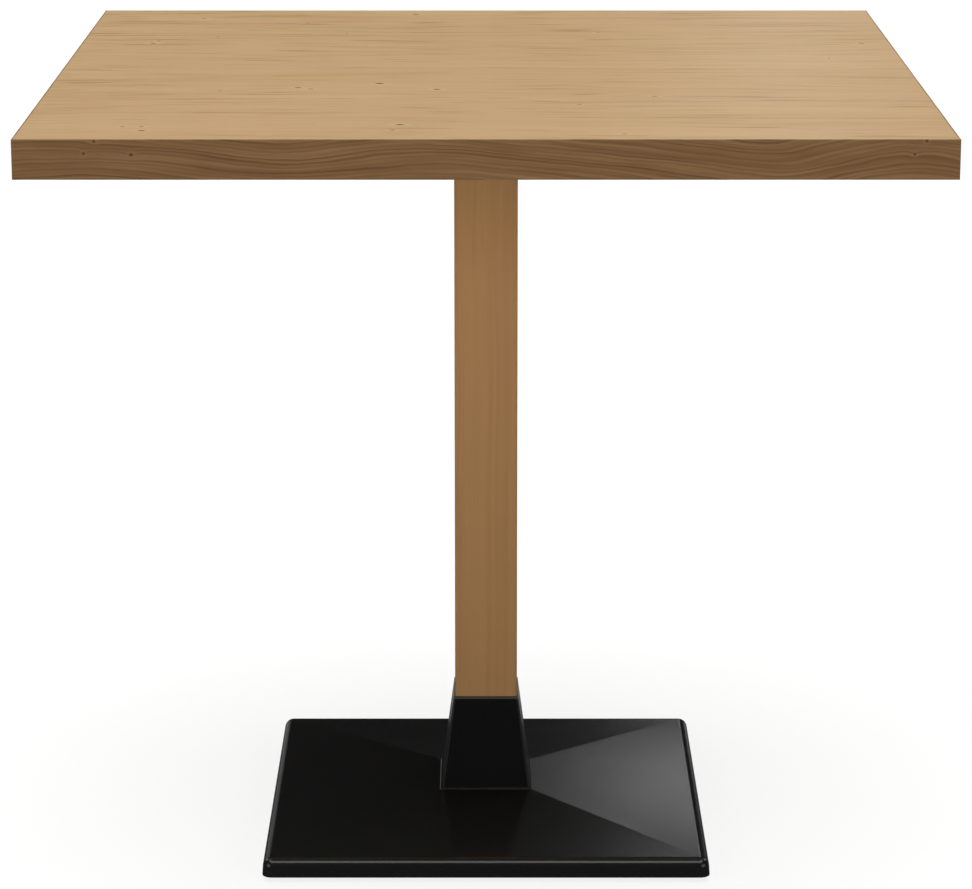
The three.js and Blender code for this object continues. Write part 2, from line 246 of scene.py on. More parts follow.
def round_bar(radius, low, high):
    return loft([level(radius, radius, low), level(radius, radius, high)])


def block(length, width, low, high):
    """A bar along X from the middle outwards."""
    corners = [(0, -width / 2), (length, -width / 2), (length, width / 2), (0, width / 2)]
    return loft([[(x, y, z) for x, y in corners] for z in (low, high)])


base_low, base_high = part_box("base_casting")
BASE_HALF = base_high.x
RIM_ROUND = 9 * MM
RIM_DRAFT = 0.6 * MM
SLOPE_FOOT = BASE_HALF - RIM_ROUND - RIM_DRAFT
RIM_TOP = base_low.z + 17.75 * MM
PLATFORM_HALF = 44.5 * MM
PLATFORM_BEVEL = 0.75 * MM
SLOPE = (base_high.z - PLATFORM_BEVEL - RIM_TOP) / (SLOPE_FOOT - PLATFORM_HALF - PLATFORM_BEVEL)
CORNERS = {"front_left": (-1, -1), "front_right": (1, -1), "back_right": (1, 1), "back_left": (-1, 1)}
foot_low, foot_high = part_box("leveller_pad_back_right")
FOOT_OFFSET = (foot_low.x + foot_high.x) / 2
screw_low, screw_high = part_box("neck_screw_3")
NECK_SCREW_OFFSET = (screw_low.x + screw_high.x) / 2
HUB_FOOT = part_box("base_washer")[1].z


def slope_height(reach):
    return RIM_TOP + SLOPE * (SLOPE_FOOT - reach)


FINE = 24
HIP_CREASE = 4.5
arc_foot = RIM_TOP - RIM_ROUND
base_levels = [
    level(BASE_HALF - 0.8 * MM, RIM_ROUND, base_low.z, FINE),
    level(BASE_HALF - 0.2 * MM, RIM_ROUND + 0.4 * MM, base_low.z + 0.25 * MM, FINE),
    level(BASE_HALF, RIM_ROUND + RIM_DRAFT, base_low.z + 0.8 * MM, FINE),
]
for step in range(FINE + 1):
    angle = step / FINE * math.pi / 2
    radius = RIM_ROUND * math.cos(angle)
    base_levels.append(level(SLOPE_FOOT + radius, radius, arc_foot + RIM_ROUND * math.sin(angle), FINE))
slope_head = PLATFORM_HALF + PLATFORM_BEVEL
base_levels.append(level(slope_head, 0, slope_height(slope_head), FINE))
base_levels.append(level(PLATFORM_HALF, 0, base_high.z, FINE))

WALL = 7 * MM
HOLLOW_HALF = BASE_HALF - 9 * MM
HUB_HALF = 56 * MM
HOLLOW_CORNER = 6 * MM
hollow = loft([
    level(HOLLOW_HALF, HOLLOW_CORNER, base_low.z - 1 * MM),
    level(HOLLOW_HALF - 1 * MM, HOLLOW_CORNER, slope_height(HOLLOW_HALF) - WALL),
    level(HUB_HALF - WALL, HOLLOW_CORNER, slope_height(HUB_HALF - WALL) - WALL),
])
RIB_START = 62 * MM
RIB_WIDTH = 8 * MM
RIB_FOOT = 12 * MM
BOSS_RADIUS = 12 * MM
BOSS_FOOT = 10.5 * MM
hub = loft([level(HUB_HALF - 1 * MM, 6 * MM, HUB_FOOT), level(HUB_HALF + 1 * MM, 8 * MM, base_high.z)])
inside = [hub]
for sx, sy in CORNERS.values():
    rib = block(FOOT_OFFSET * math.sqrt(2) - RIB_START, RIB_WIDTH, RIB_FOOT, base_high.z)
    start_x, start_y = RIB_START * sx / math.sqrt(2), RIB_START * sy / math.sqrt(2)
    inside.append(move(rib, start_x, start_y, turn=math.atan2(sy, sx)))
    boss = loft([
        level(BOSS_RADIUS - 1.5 * MM, BOSS_RADIUS - 1.5 * MM, BOSS_FOOT),
        level(BOSS_RADIUS - 1 * MM, BOSS_RADIUS - 1 * MM, BOSS_FOOT + 1 * MM),
        level(BOSS_RADIUS, BOSS_RADIUS, base_high.z),
    ])
    inside.append(move(boss, FOOT_OFFSET * sx, FOOT_OFFSET * sy))
M12_HOLE = 6.3 * MM
M6_HOLE = 3.3 * MM
M8_HOLE = 4.3 * MM
M8_DEPTH = 11 * MM
drilled = [cut_away(hollow, inside), round_bar(M12_HOLE, 0, base_high.z + 1 * MM)]
for sx, sy in CORNERS.values():
    neck_hole = round_bar(M6_HOLE, 0, base_high.z + 1 * MM)
    drilled.append(move(neck_hole, NECK_SCREW_OFFSET * sx, NECK_SCREW_OFFSET * sy))
    foot_hole = round_bar(M8_HOLE, 0, BOSS_FOOT + M8_DEPTH)
    drilled.append(move(foot_hole, FOOT_OFFSET * sx, FOOT_OFFSET * sy))
base = make_piece("base", cut_away(loft(base_levels), drilled), HIP_CREASE)


def start_material(name):
    """A new material, with its node tree and its shader."""
    material = bpy.data.materials.new(name)
    material.use_nodes = True
    return material, material.node_tree, material.node_tree.nodes["Principled BSDF"]


def maths(tree, operation, *values):
    """The result of one sum on numbers or sockets."""
    return add_node(tree, "Math", dict(enumerate(values)), operation=operation).outputs[0]


def noise(tree, place, scale, detail=2, roughness=0.5):
    """Noise about 0.5 at a place. The scale is for each axis, per metre."""
    stretched = add_node(tree, "VectorMath", {0: place, 1: scale}, operation="MULTIPLY").outputs[0]
    settings = {"Vector": stretched, "Scale": 1, "Detail": detail, "Roughness": roughness}
    return add_node(tree, "TexNoise", settings).outputs["Fac"]


def spread(tree, value, low, high, from_low=0.3, from_high=0.7, kind="LINEAR"):
    """A value stretched from one range to another."""
    settings = {"Value": value, "From Min": from_low, "From Max": from_high, "To Min": low, "To Max": high}
    return add_node(tree, "MapRange", settings, interpolation_type=kind).outputs["Result"]


def blend_colour(tree, share, low, high):
    node = add_node(tree, "Mix", data_type="RGBA")
    for socket, value in zip((0, 6, 7), (share, low, high)):
        if isinstance(value, bpy.types.NodeSocket):
            tree.links.new(value, node.inputs[socket])
        else:
            node.inputs[socket].default_value = value
    return node.outputs[2]


def edge_share(tree, radius):
    """How close a point is to an edge, from the difference of its own and a rounded normal."""
    rounded = add_node(tree, "Bevel", {"Radius": radius}, samples=4).outputs[0]
    own = add_node(tree, "NewGeometry").outputs["Normal"]
    agree = add_node(tree, "VectorMath", {0: rounded, 1: own}, operation="DOT_PRODUCT").outputs["Value"]
    return spread(tree, agree, 1, 0, 0.8, 0.995)


WEAR_REACH = 1.6 * MM


def coat_iron(name, colour, rubbed_and_sheen, roughness, grain, bump, painted_sheen_height=None, painted_underside_light=None):
    """Black powder coat: fine-grained and semi-matt, rubbed on its edges, with a painted reflection above a
    lip and painted paler in the hollow in place of light.
    """
    material, tree, shader = start_material(name)
    place = add_node(tree, "TexCoord").outputs["Object"]
    sand = noise(tree, place, (grain, grain, grain), detail=3, roughness=0.6)
    cloud = noise(tree, place, (14, 14, 14), detail=3)
    wear_and_sheen = maths(tree, "MULTIPLY", edge_share(tree, WEAR_REACH), spread(tree, cloud, 0.3, 0.9))
    # Above the lip the coat also takes the rubbed colour. This is a painted reflection of the wooden column
    # in the lip, not wear.
    if painted_sheen_height:
        height = add_node(tree, "SeparateXYZ", {0: place}).outputs["Z"]
        wear_and_sheen = maths(tree, "MAXIMUM", wear_and_sheen, spread(tree, height, 0, 1, painted_sheen_height - 0.2 * MM, painted_sheen_height + 0.2 * MM))
    tone = blend_colour(tree, spread(tree, sand, 0, 1), colour, [c * 1.5 for c in colour[:3]] + [1])
    tone = blend_colour(tree, wear_and_sheen, tone, rubbed_and_sheen)
    # Down-facing faces inside the hollow are painted paler in patches. This is painted light, in place of
    # light that doesn't reach them.
    if painted_underside_light:
        axes = add_node(tree, "SeparateXYZ", {0: place})
        normal = add_node(tree, "NewGeometry").outputs["Normal"]
        upward = add_node(tree, "SeparateXYZ", {0: normal}).outputs["Z"]
        sideways = [maths(tree, "ABSOLUTE", axes.outputs[axis]) for axis in "XY"]
        inside = maths(tree, "LESS_THAN", maths(tree, "MAXIMUM", *sideways), HOLLOW_HALF + 0.5 * MM)
        hidden = maths(tree, "MULTIPLY", inside, maths(tree, "LESS_THAN", upward, 0.5))
        painted_light_patches = maths(tree, "MULTIPLY", hidden, spread(tree, cloud, 0.5, 1))
        tone = blend_colour(tree, painted_light_patches, tone, painted_underside_light)
    tree.links.new(tone, shader.inputs["Base Color"])
    soft = spread(tree, cloud, roughness - 0.01, roughness + 0.01)
    tree.links.new(maths(tree, "ADD", soft, spread(tree, sand, -0.03, 0.03)), shader.inputs["Roughness"])
    settings = {"Strength": bump, "Distance": 0.05 * MM, "Height": sand}
    tree.links.new(add_node(tree, "Bump", settings).outputs[0], shader.inputs["Normal"])
    shader.inputs["Specular IOR Level"].default_value = 0.32
    return material


# The rubbed colour is real wear on the edges. On the neck it is also a painted reflection above the lip.
IRON, IRON_RUBBED_AND_SHEEN = (0.0085, 0.0085, 0.0085, 1), (0.085, 0.074, 0.062, 1)
# A paler colour painted into the hollow under the base, standing in for light there.
HOLLOW_PAINTED_LIGHT = (0.06, 0.058, 0.055, 1)
SATIN = {"roughness": 0.222, "grain": 1100, "bump": 0.5}
black_iron = coat_iron("black_powder_coat", IRON, IRON_RUBBED_AND_SHEEN, **SATIN, painted_underside_light=HOLLOW_PAINTED_LIGHT)
base.data.materials.append(black_iron)
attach(base, "table")
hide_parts("base_casting")

# ---------------------------------------------------------------- Levelling feet
# Each foot is a zinc-plated M8 stem with a hexagon, snapped into a moulded nylon
# pad. The stem screws up into a tapped boss and turns in the pad.
ROUND = 48


def circle(radius, height, count=ROUND):
    turns = [2 * math.pi * i / count for i in range(count)]
    return [(radius * math.cos(turn), radius * math.sin(turn), height) for turn in turns]


def hexagon(across, height, limit=1, count=ROUND):
    """A hexagonal level, no wider than the limit, so that its corners can be turned off."""
    points = []
    for i in range(count):
        turn = 2 * math.pi * i / count
        radius = min(across / 2 / math.cos(turn % (math.pi / 3) - math.pi / 6), limit)
        points.append((radius * math.cos(turn), radius * math.sin(turn), height))
    return points


def chamfered_hexagon(across, low, high):
    """The levels of a nut or bolt head, with both ends turned to a chamfer."""
    face = across / 2 * 0.98
    sides = []
    for height, way in ((low, 1), (high, -1)):
        points = hexagon(across, height)
        drops = [(math.hypot(x, y) - face) * math.tan(math.radians(30)) for x, y, _ in points]
        sides.append([(x, y, height + way * drop) for (x, y, _), drop in zip(points, drops)])
    return [circle(face, low), sides[0], sides[1], circle(face, high)]


def screw_thread(radius, pitch, low, high, count=ROUND):
    """The levels of a thread, cut as a helix with one start."""
    depth = 0.54 * pitch
    steps = max(2, round((high - low) / pitch * 8))
    levels = []
    for step in range(steps + 1):
        height = low + (high - low) * step / steps
        points = []
        for i in range(count):
            turn = 2 * math.pi * i / count
            phase = (height / pitch - i / count) % 1
            reach = radius - depth * abs(2 * phase - 1)
            points.append((reach * math.cos(turn), reach * math.sin(turn), height))
        levels.append(points)
    return levels


def plate_steel(name, colour, roughness):
    """Bright zinc plate: cool grey, faintly mottled, with a fine brushed finish."""
    material, tree, shader = start_material(name)
    place = add_node(tree, "TexCoord").outputs["Object"]
    mottle = noise(tree, place, (220, 220, 220), detail=3)
    brushed = noise(tree, place, (400, 400, 6000), detail=2)
    shade = [c * 0.72 for c in colour[:3]] + [1]
    tree.links.new(blend_colour(tree, spread(tree, mottle, 0, 1), shade, colour), shader.inputs["Base Color"])
    tree.links.new(spread(tree, mottle, roughness + 0.08, roughness - 0.05), shader.inputs["Roughness"])
    settings = {"Strength": 0.25, "Distance": 0.02 * MM, "Height": brushed}
    tree.links.new(add_node(tree, "Bump", settings).outputs[0], shader.inputs["Normal"])
    shader.inputs["Metallic"].default_value = 1
    return material


zinc = plate_steel("zinc_plate", (0.62, 0.63, 0.65, 1), 0.32)

nylon, tree, shader = start_material("black_nylon")
place = add_node(tree, "TexCoord").outputs["Object"]
spark = noise(tree, place, (2500, 2500, 2500), detail=2)
scuff = noise(tree, place, (90, 90, 300), detail=4, roughness=0.7)
NYLON, SCUFFED = (0.018, 0.018, 0.019, 1), (0.06, 0.06, 0.058, 1)
worn = blend_colour(tree, spread(tree, scuff, 0, 1, 0.5, 0.8), NYLON, SCUFFED)
tree.links.new(worn, shader.inputs["Base Color"])
tree.links.new(spread(tree, scuff, 0.42, 0.62), shader.inputs["Roughness"])
settings = {"Strength": 0.3, "Distance": 0.03 * MM, "Height": spark}
tree.links.new(add_node(tree, "Bump", settings).outputs[0], shader.inputs["Normal"])

pad_bottom, pad_top = foot_low.z, foot_high.z
PAD_RADIUS = (foot_high.x - foot_low.x) / 2
stem_low, stem_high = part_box("leveller_stem_back_right")
HEX_FOOT = 6 * MM
HEX_ACROSS = 13 * MM
M8_RADIUS = 4 * MM
M8_PITCH = 1.25 * MM
for name, (sx, sy) in CORNERS.items():
    pad_levels = [
        circle(8 * MM, pad_bottom + 0.4 * MM),
        circle(8.6 * MM, pad_bottom),
        circle(PAD_RADIUS - 1 * MM, pad_bottom),
        circle(PAD_RADIUS - 0.3 * MM, pad_bottom + 0.3 * MM),
        circle(PAD_RADIUS, pad_bottom + 1 * MM),
        circle(PAD_RADIUS, pad_bottom + 2.3 * MM),
        circle(PAD_RADIUS - 0.6 * MM, pad_bottom + 3 * MM),
        circle(8.5 * MM, pad_top - 1 * MM),
        circle(7.5 * MM, pad_top - 0.3 * MM),
        circle(7 * MM, pad_top),
        circle(M8_HOLE + 0.4 * MM, pad_top),
        circle(M8_HOLE, pad_top - 0.4 * MM),
        circle(M8_HOLE, pad_bottom + 1.5 * MM),
    ]
    pad = make_piece("foot_pad_" + name, move(loft(pad_levels), FOOT_OFFSET * sx, FOOT_OFFSET * sy))
    pad.data.materials.append(nylon)
    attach(pad, "pad_" + name)
    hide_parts("leveller_pad_" + name)
    stem_levels = [
        circle(3 * MM, stem_low.z),
        circle(3.8 * MM, stem_low.z + 0.5 * MM),
        circle(M8_RADIUS, stem_low.z + 1.2 * MM),
        circle(M8_RADIUS, HEX_FOOT),
        *chamfered_hexagon(HEX_ACROSS, HEX_FOOT, BOSS_FOOT),
        circle(M8_RADIUS - 0.6 * MM, BOSS_FOOT),
        *screw_thread(M8_RADIUS, M8_PITCH, BOSS_FOOT + 0.3 * MM, stem_high.z - 0.7 * MM),
        circle(2.9 * MM, stem_high.z),
    ]
    stem = make_piece("foot_stem_" + name, move(loft(stem_levels), FOOT_OFFSET * sx, FOOT_OFFSET * sy))
    stem.data.materials.append(zinc)
    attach(stem, "stem_" + name)
    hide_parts("leveller_stem_" + name)

# ---------------------------------------------------------------- Neck
# A tapered square sleeve, cast in iron with a straight square socket for the
# column. It stands on the platform and is powder coated with the base. Its coat
# is drawn darker than the base's, as painted shade under the table top.
neck_low, neck_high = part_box("neck")
NECK_FOOT_HALF = neck_high.x
NECK_HEAD_HALF = 31.5 * MM
NECK_EDGE = 2 * MM
LIP_HEIGHT = 2.5 * MM
LIP_INSET = 0.75 * MM
SOCKET_HALF = 30.5 * MM
SOCKET_CORNER = 2.5 * MM
neck_levels = [
    level(NECK_FOOT_HALF - 0.5 * MM, NECK_EDGE, neck_low.z),
    level(NECK_FOOT_HALF - 0.1 * MM, NECK_EDGE, neck_low.z + 0.2 * MM),
    level(NECK_FOOT_HALF - 0.05 * MM, NECK_EDGE, neck_low.z + 0.5 * MM),
]
LIP_STEPS = 6
for step in range(LIP_STEPS + 1):
    angle = step / LIP_STEPS * math.pi / 2
    inset = LIP_INSET * (1 - math.cos(angle))
    lift = neck_high.z - LIP_HEIGHT + LIP_HEIGHT * math.sin(angle)
    neck_levels.append(level(NECK_HEAD_HALF + 0.3 * MM - inset, NECK_EDGE, lift))
neck_levels.append(level(SOCKET_HALF, SOCKET_CORNER, neck_high.z - 0.1 * MM))
neck_levels.append(level(SOCKET_HALF, SOCKET_CORNER, neck_low.z))
neck = make_piece("neck_sleeve", loft(neck_levels, ring_shaped=True))
# The neck's coat is darker than the base's. This is painted shade for the shadow that the table top casts on
# it.
NECK_IRON_PAINTED_SHADE = (0.006, 0.006, 0.006, 1)
# The neck's lip band gets a painted reflection of the column, in the rubbed colour.
painted_shade_neck_coat = coat_iron("neck_powder_coat_painted_shade", NECK_IRON_PAINTED_SHADE, IRON_RUBBED_AND_SHEEN, **SATIN, painted_sheen_height=neck_high.z - LIP_HEIGHT)
neck.data.materials.append(painted_shade_neck_coat)
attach(neck, "table")
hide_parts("neck")

# ---------------------------------------------------------------- Neck screws
# Four zinc-plated M6 socket-head screws come up through the hub of the base
# into tapped holes in the corners of the neck.
M6_HEAD = 5 * MM
M6_RADIUS = 3 * MM
M6_PITCH = 1 * MM
KEY_ACROSS = 5 * MM
SCREW_ROUND = 96
KNURL = 0.03


def knurled(height):
    """One level of a knurled head: every second point lies a little further in."""
    points = []
    for i, (x, y, z) in enumerate(circle(M6_HEAD, height, SCREW_ROUND)):
        share = 1 - KNURL * (i % 2)
        points.append((x * share, y * share, z))
    return points


for number, (sx, sy) in enumerate(CORNERS.values(), start=1):
    low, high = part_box(f"neck_screw_{number}")
    screw_levels = [
        hexagon(KEY_ACROSS, low.z + 3 * MM, count=SCREW_ROUND),
        hexagon(KEY_ACROSS, low.z + 0.2 * MM, count=SCREW_ROUND),
        circle(3.1 * MM, low.z, SCREW_ROUND),
        circle(M6_HEAD - 0.6 * MM, low.z, SCREW_ROUND),
        knurled(low.z + 0.6 * MM),
        knurled(HUB_FOOT - 0.5 * MM),
        circle(M6_HEAD - 0.3 * MM, HUB_FOOT, SCREW_ROUND),
        circle(M6_RADIUS, HUB_FOOT, SCREW_ROUND),
        *screw_thread(M6_RADIUS, M6_PITCH, HUB_FOOT + 8 * MM, high.z - 0.6 * MM, SCREW_ROUND),
        circle(2.2 * MM, high.z, SCREW_ROUND),
    ]
    screw_shape = move(loft(screw_levels), NECK_SCREW_OFFSET * sx, NECK_SCREW_OFFSET * sy)
    screw = make_piece(f"neck_cap_screw_{number}", screw_shape)
    screw.data.materials.append(zinc)
    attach(screw, "table")
    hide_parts(f"neck_screw_{number}")

# ---------------------------------------------------------------- Column
# One square length of solid wood with eased arrises, bored from end to end for
# the tie rod, with a pocket in its head for the hub nut. Stained and lacquered.
column_low, column_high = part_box("column")
COLUMN_HALF = column_high.x
COLUMN_EASE = 2.5 * MM
BORE = 7.5 * MM
POCKET = 12.5 * MM
pocket_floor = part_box("hub_nut")[0].z - 1 * MM
column_levels = [
    level(COLUMN_HALF - 0.6 * MM, COLUMN_EASE, column_low.z),
    level(COLUMN_HALF, COLUMN_EASE, column_low.z + 0.6 * MM),
    level(COLUMN_HALF, COLUMN_EASE, column_high.z - 0.6 * MM),
    level(COLUMN_HALF - 0.6 * MM, COLUMN_EASE, column_high.z),
    level(POCKET, POCKET, column_high.z),
    level(POCKET, POCKET, pocket_floor),
    level(BORE, BORE, pocket_floor),
    level(BORE, BORE, column_low.z),
]
column = make_piece("square_column", loft(column_levels, ring_shaped=True))


def wood_finish(tree, shader, tone, fibre, gloss):
    """Lacquer over the wood: its colour, a satin sheen that follows the fibres, and open pores."""
    tree.links.new(tone, shader.inputs["Base Color"])
    tree.links.new(spread(tree, fibre, gloss + 0.05, gloss - 0.05), shader.inputs["Roughness"])
    settings = {"Strength": 0.25, "Distance": 0.06 * MM, "Height": fibre}
    tree.links.new(add_node(tree, "Bump", settings).outputs[0], shader.inputs["Normal"])
    shader.inputs["Specular IOR Level"].default_value = 0.1


column_wood, tree, shader = start_material("column_wood")
place = add_node(tree, "TexCoord").outputs["Object"]
sway = noise(tree, place, (3, 3, 1.6), detail=2)
axes = add_node(tree, "SeparateXYZ", {0: place}).outputs
bent = maths(tree, "ADD", axes["X"], spread(tree, sway, -6 * MM, 6 * MM))
deep = maths(tree, "ADD", axes["Y"], maths(tree, "MULTIPLY", bent, 0.35))
grain_place = add_node(tree, "CombineXYZ", {"X": bent, "Y": deep, "Z": axes["Z"]}).outputs[0]
rings = noise(tree, grain_place, (150, 60, 1.2), detail=3, roughness=0.6)
fibre = noise(tree, grain_place, (1600, 1600, 9), detail=3, roughness=0.6)
broad = noise(tree, grain_place, (22, 22, 2.2), detail=2)
STAIN_PALE, STAIN_MID, STAIN_DARK = (0.55, 0.306, 0.128, 1), (0.53, 0.29, 0.118, 1), (0.38, 0.195, 0.073, 1)
tone = blend_colour(tree, spread(tree, broad, 0, 1), STAIN_PALE, STAIN_MID)
tone = blend_colour(tree, spread(tree, rings, 0, 0.4, 0.45, 0.75), tone, STAIN_DARK)
tone = blend_colour(tree, spread(tree, fibre, 0, 0.3, 0.5, 0.8), tone, STAIN_DARK)
wood_finish(tree, shader, tone, fibre, 0.42)
column.data.materials.append(column_wood)
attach(column, "table")
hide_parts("column")

# ---------------------------------------------------------------- Tie rod, washer and lower nut
# A zinc-plated M12 rod, threaded at both ends, drops down the column's bore. The
# washer and nut under the base pull the whole pedestal tight on it.
rod_low, rod_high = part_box("tie_rod")
M12_RADIUS = 6 * MM
M12_PITCH = 1.75 * MM
THREAD_LENGTH = 35 * MM
rod_levels = [
    circle(4.6 * MM, rod_low.z),
    *screw_thread(M12_RADIUS, M12_PITCH, rod_low.z + 1 * MM, rod_low.z + THREAD_LENGTH),
    circle(M12_RADIUS - 0.5 * MM, rod_low.z + THREAD_LENGTH + 1 * MM),
    circle(M12_RADIUS - 0.5 * MM, rod_high.z - THREAD_LENGTH - 1 * MM),
    *screw_thread(M12_RADIUS, M12_PITCH, rod_high.z - THREAD_LENGTH, rod_high.z - 1 * MM),
    circle(4.6 * MM, rod_high.z),
]
tie_rod = make_piece("long_tie_rod", loft(rod_levels))
tie_rod.data.materials.append(zinc)
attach(tie_rod, "table")
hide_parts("tie_rod")

washer_low, washer_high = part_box("base_washer")
WASHER_RADIUS = washer_high.x
washer_levels = [
    circle(WASHER_RADIUS - 0.3 * MM, washer_low.z),
    circle(WASHER_RADIUS, washer_low.z + 0.3 * MM),
    circle(WASHER_RADIUS, washer_high.z - 0.3 * MM),
    circle(WASHER_RADIUS - 0.3 * MM, washer_high.z),
    circle(M12_HOLE + 0.2 * MM, washer_high.z),
    circle(M12_HOLE, washer_high.z - 0.2 * MM),
    circle(M12_HOLE, washer_low.z + 0.2 * MM),
    circle(M12_HOLE + 0.2 * MM, washer_low.z),
]
washer = make_piece("tie_rod_washer", loft(washer_levels, ring_shaped=True))
washer.data.materials.append(zinc)
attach(washer, "table")
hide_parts("base_washer")


NUT_ACROSS = 19 * MM


def nut(name, node):
    """An M12 nut, chamfered outside and at both mouths of its bore."""
    low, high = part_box(node)
    levels = [
        *chamfered_hexagon(NUT_ACROSS, low.z, high.z),
        circle(M12_HOLE + 0.8 * MM, high.z),
        circle(M12_HOLE, high.z - 0.8 * MM),
        circle(M12_HOLE, low.z + 0.8 * MM),
        circle(M12_HOLE + 0.8 * MM, low.z),
    ]
    piece = make_piece(name, loft(levels, ring_shaped=True))
    piece.data.materials.append(zinc)
    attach(piece, "table")
    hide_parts(node)


nut("tie_rod_nut", "base_nut")

# ---------------------------------------------------------------- Hub: socket, plate and nut
# A length of square tube, welded under a square steel plate with a nut inside it.
# The tube takes the head of the column. The weldment is powder coated black.
STEEL, STEEL_RUBBED = (0.009, 0.009, 0.009, 1), (0.05, 0.05, 0.05, 1)
black_steel = coat_iron("black_steel_coat", STEEL, STEEL_RUBBED, roughness=0.36, grain=1500, bump=0.35)

tube_low, tube_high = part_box("column_socket")
TUBE_HALF = tube_high.x
TUBE_CORNER = 5 * MM
tube_levels = [
    level(TUBE_HALF - 0.4 * MM, TUBE_CORNER, tube_low.z),
    level(TUBE_HALF, TUBE_CORNER, tube_low.z + 0.4 * MM),
    level(TUBE_HALF, TUBE_CORNER, tube_high.z - 4.5 * MM),
    level(TUBE_HALF + 1.2 * MM, TUBE_CORNER + 1 * MM, tube_high.z - 3.6 * MM),
    level(TUBE_HALF + 3.4 * MM, TUBE_CORNER + 2.5 * MM, tube_high.z - 1 * MM),
    level(TUBE_HALF + 4 * MM, TUBE_CORNER + 3 * MM, tube_high.z),
    level(SOCKET_HALF, SOCKET_CORNER, tube_high.z),
    level(SOCKET_HALF, SOCKET_CORNER, tube_low.z + 0.3 * MM),
    level(SOCKET_HALF + 0.3 * MM, SOCKET_CORNER, tube_low.z),
]
tube = make_piece("socket_tube", loft(tube_levels, ring_shaped=True))
tube.data.materials.append(black_steel)
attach(tube, "table")
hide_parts("column_socket")

plate_low, plate_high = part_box("hub_plate")
PLATE_HALF = plate_high.x
PLATE_CORNER = 10 * MM
plate_levels = [
    level(PLATE_HALF - 0.7 * MM, PLATE_CORNER, plate_low.z),
    level(PLATE_HALF, PLATE_CORNER, plate_low.z + 0.7 * MM),
    level(PLATE_HALF, PLATE_CORNER, plate_high.z - 0.7 * MM),
    level(PLATE_HALF - 0.7 * MM, PLATE_CORNER, plate_high.z),
    level(M12_HOLE, M12_HOLE, plate_high.z),
    level(M12_HOLE, M12_HOLE, plate_low.z),
]
plate = make_piece("square_hub_plate", loft(plate_levels, ring_shaped=True))
plate.data.materials.append(black_steel)
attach(plate, "table")
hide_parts("hub_plate")

nut("welded_hub_nut", "hub_nut")

# ---------------------------------------------------------------- Mounting bars
# Two flat steel bars with round ends, half-lapped where they cross on the hub
# plate, drilled for the top's screws, welded and powder coated.
bar_low, bar_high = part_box("mounting_bar_lower")
BAR_HALF = 280 * MM
BAR_ROUND = 20 * MM
BAR_HOLE = 3 * MM
SCREW_REACHES = [110 * MM, 250 * MM]
LAP_GAP = 0.25 * MM


def bar_outline(inset, height, steps=12):
    """One level of a bar along X: straight sides and half-round ends."""
    radius = BAR_ROUND - inset
    points = []
    for way in (1, -1):
        for step in range(steps + 1):
            angle = math.pi * (step / steps - way / 2)
            x = way * (BAR_HALF - BAR_ROUND) + radius * math.cos(angle)
            points.append((x, radius * math.sin(angle), height))
    return points


bar_middle = (bar_low.z + bar_high.z) / 2
lap = BAR_ROUND + LAP_GAP
for node, turn, notch in (
    ("mounting_bar_lower", math.pi / 4, (bar_middle - LAP_GAP, bar_high.z + 1 * MM)),
    ("mounting_bar_upper", -math.pi / 4, (bar_low.z - 1 * MM, bar_middle)),
):
    shape = loft([
        bar_outline(0.5 * MM, bar_low.z),
        bar_outline(0, bar_low.z + 0.5 * MM),
        bar_outline(0, bar_high.z - 0.5 * MM),
        bar_outline(0.5 * MM, bar_high.z),
    ])
    tools = [move(block(2 * lap, 2 * lap, *notch), -lap)]
    for reach in SCREW_REACHES:
        for way in (-1, 1):
            tools.append(move(round_bar(BAR_HOLE, bar_low.z - 1 * MM, bar_high.z + 1 * MM), way * reach))
    bar = make_piece(node.replace("mounting", "cross"), move(cut_away(shape, tools), turn=turn))
    bar.data.materials.append(black_steel)
    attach(bar, "table")
    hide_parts(node)

# ---------------------------------------------------------------- Board core
# A thick fibreboard panel, the body of the top. The veneers and edge bands are
# glued over it, so only its drilled holes would ever show.
core_board, tree, shader = start_material("fibreboard")
place = add_node(tree, "TexCoord").outputs["Object"]
fluff = noise(tree, place, (700, 700, 1800), detail=4, roughness=0.7)
patch = noise(tree, place, (25, 25, 25), detail=2)
tone = blend_colour(tree, spread(tree, fluff, 0, 1), (0.36, 0.25, 0.14, 1), (0.5, 0.37, 0.23, 1))
tone = blend_colour(tree, spread(tree, patch, 0, 0.3), tone, (0.3, 0.2, 0.11, 1))
tree.links.new(tone, shader.inputs["Base Color"])
tree.links.new(spread(tree, fluff, 0.75, 0.9), shader.inputs["Roughness"])
settings = {"Strength": 0.5, "Distance": 0.1 * MM, "Height": fluff}
tree.links.new(add_node(tree, "Bump", settings).outputs[0], shader.inputs["Normal"])
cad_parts["top_core"].data.materials.clear()
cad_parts["top_core"].data.materials.append(core_board)

# ---------------------------------------------------------------- Face and backing veneers
# Thin sliced leaves of pale wood, pressed on both faces of the board with the
# grain from left to right. The wood has pin knots, and it is sanded and lacquered.


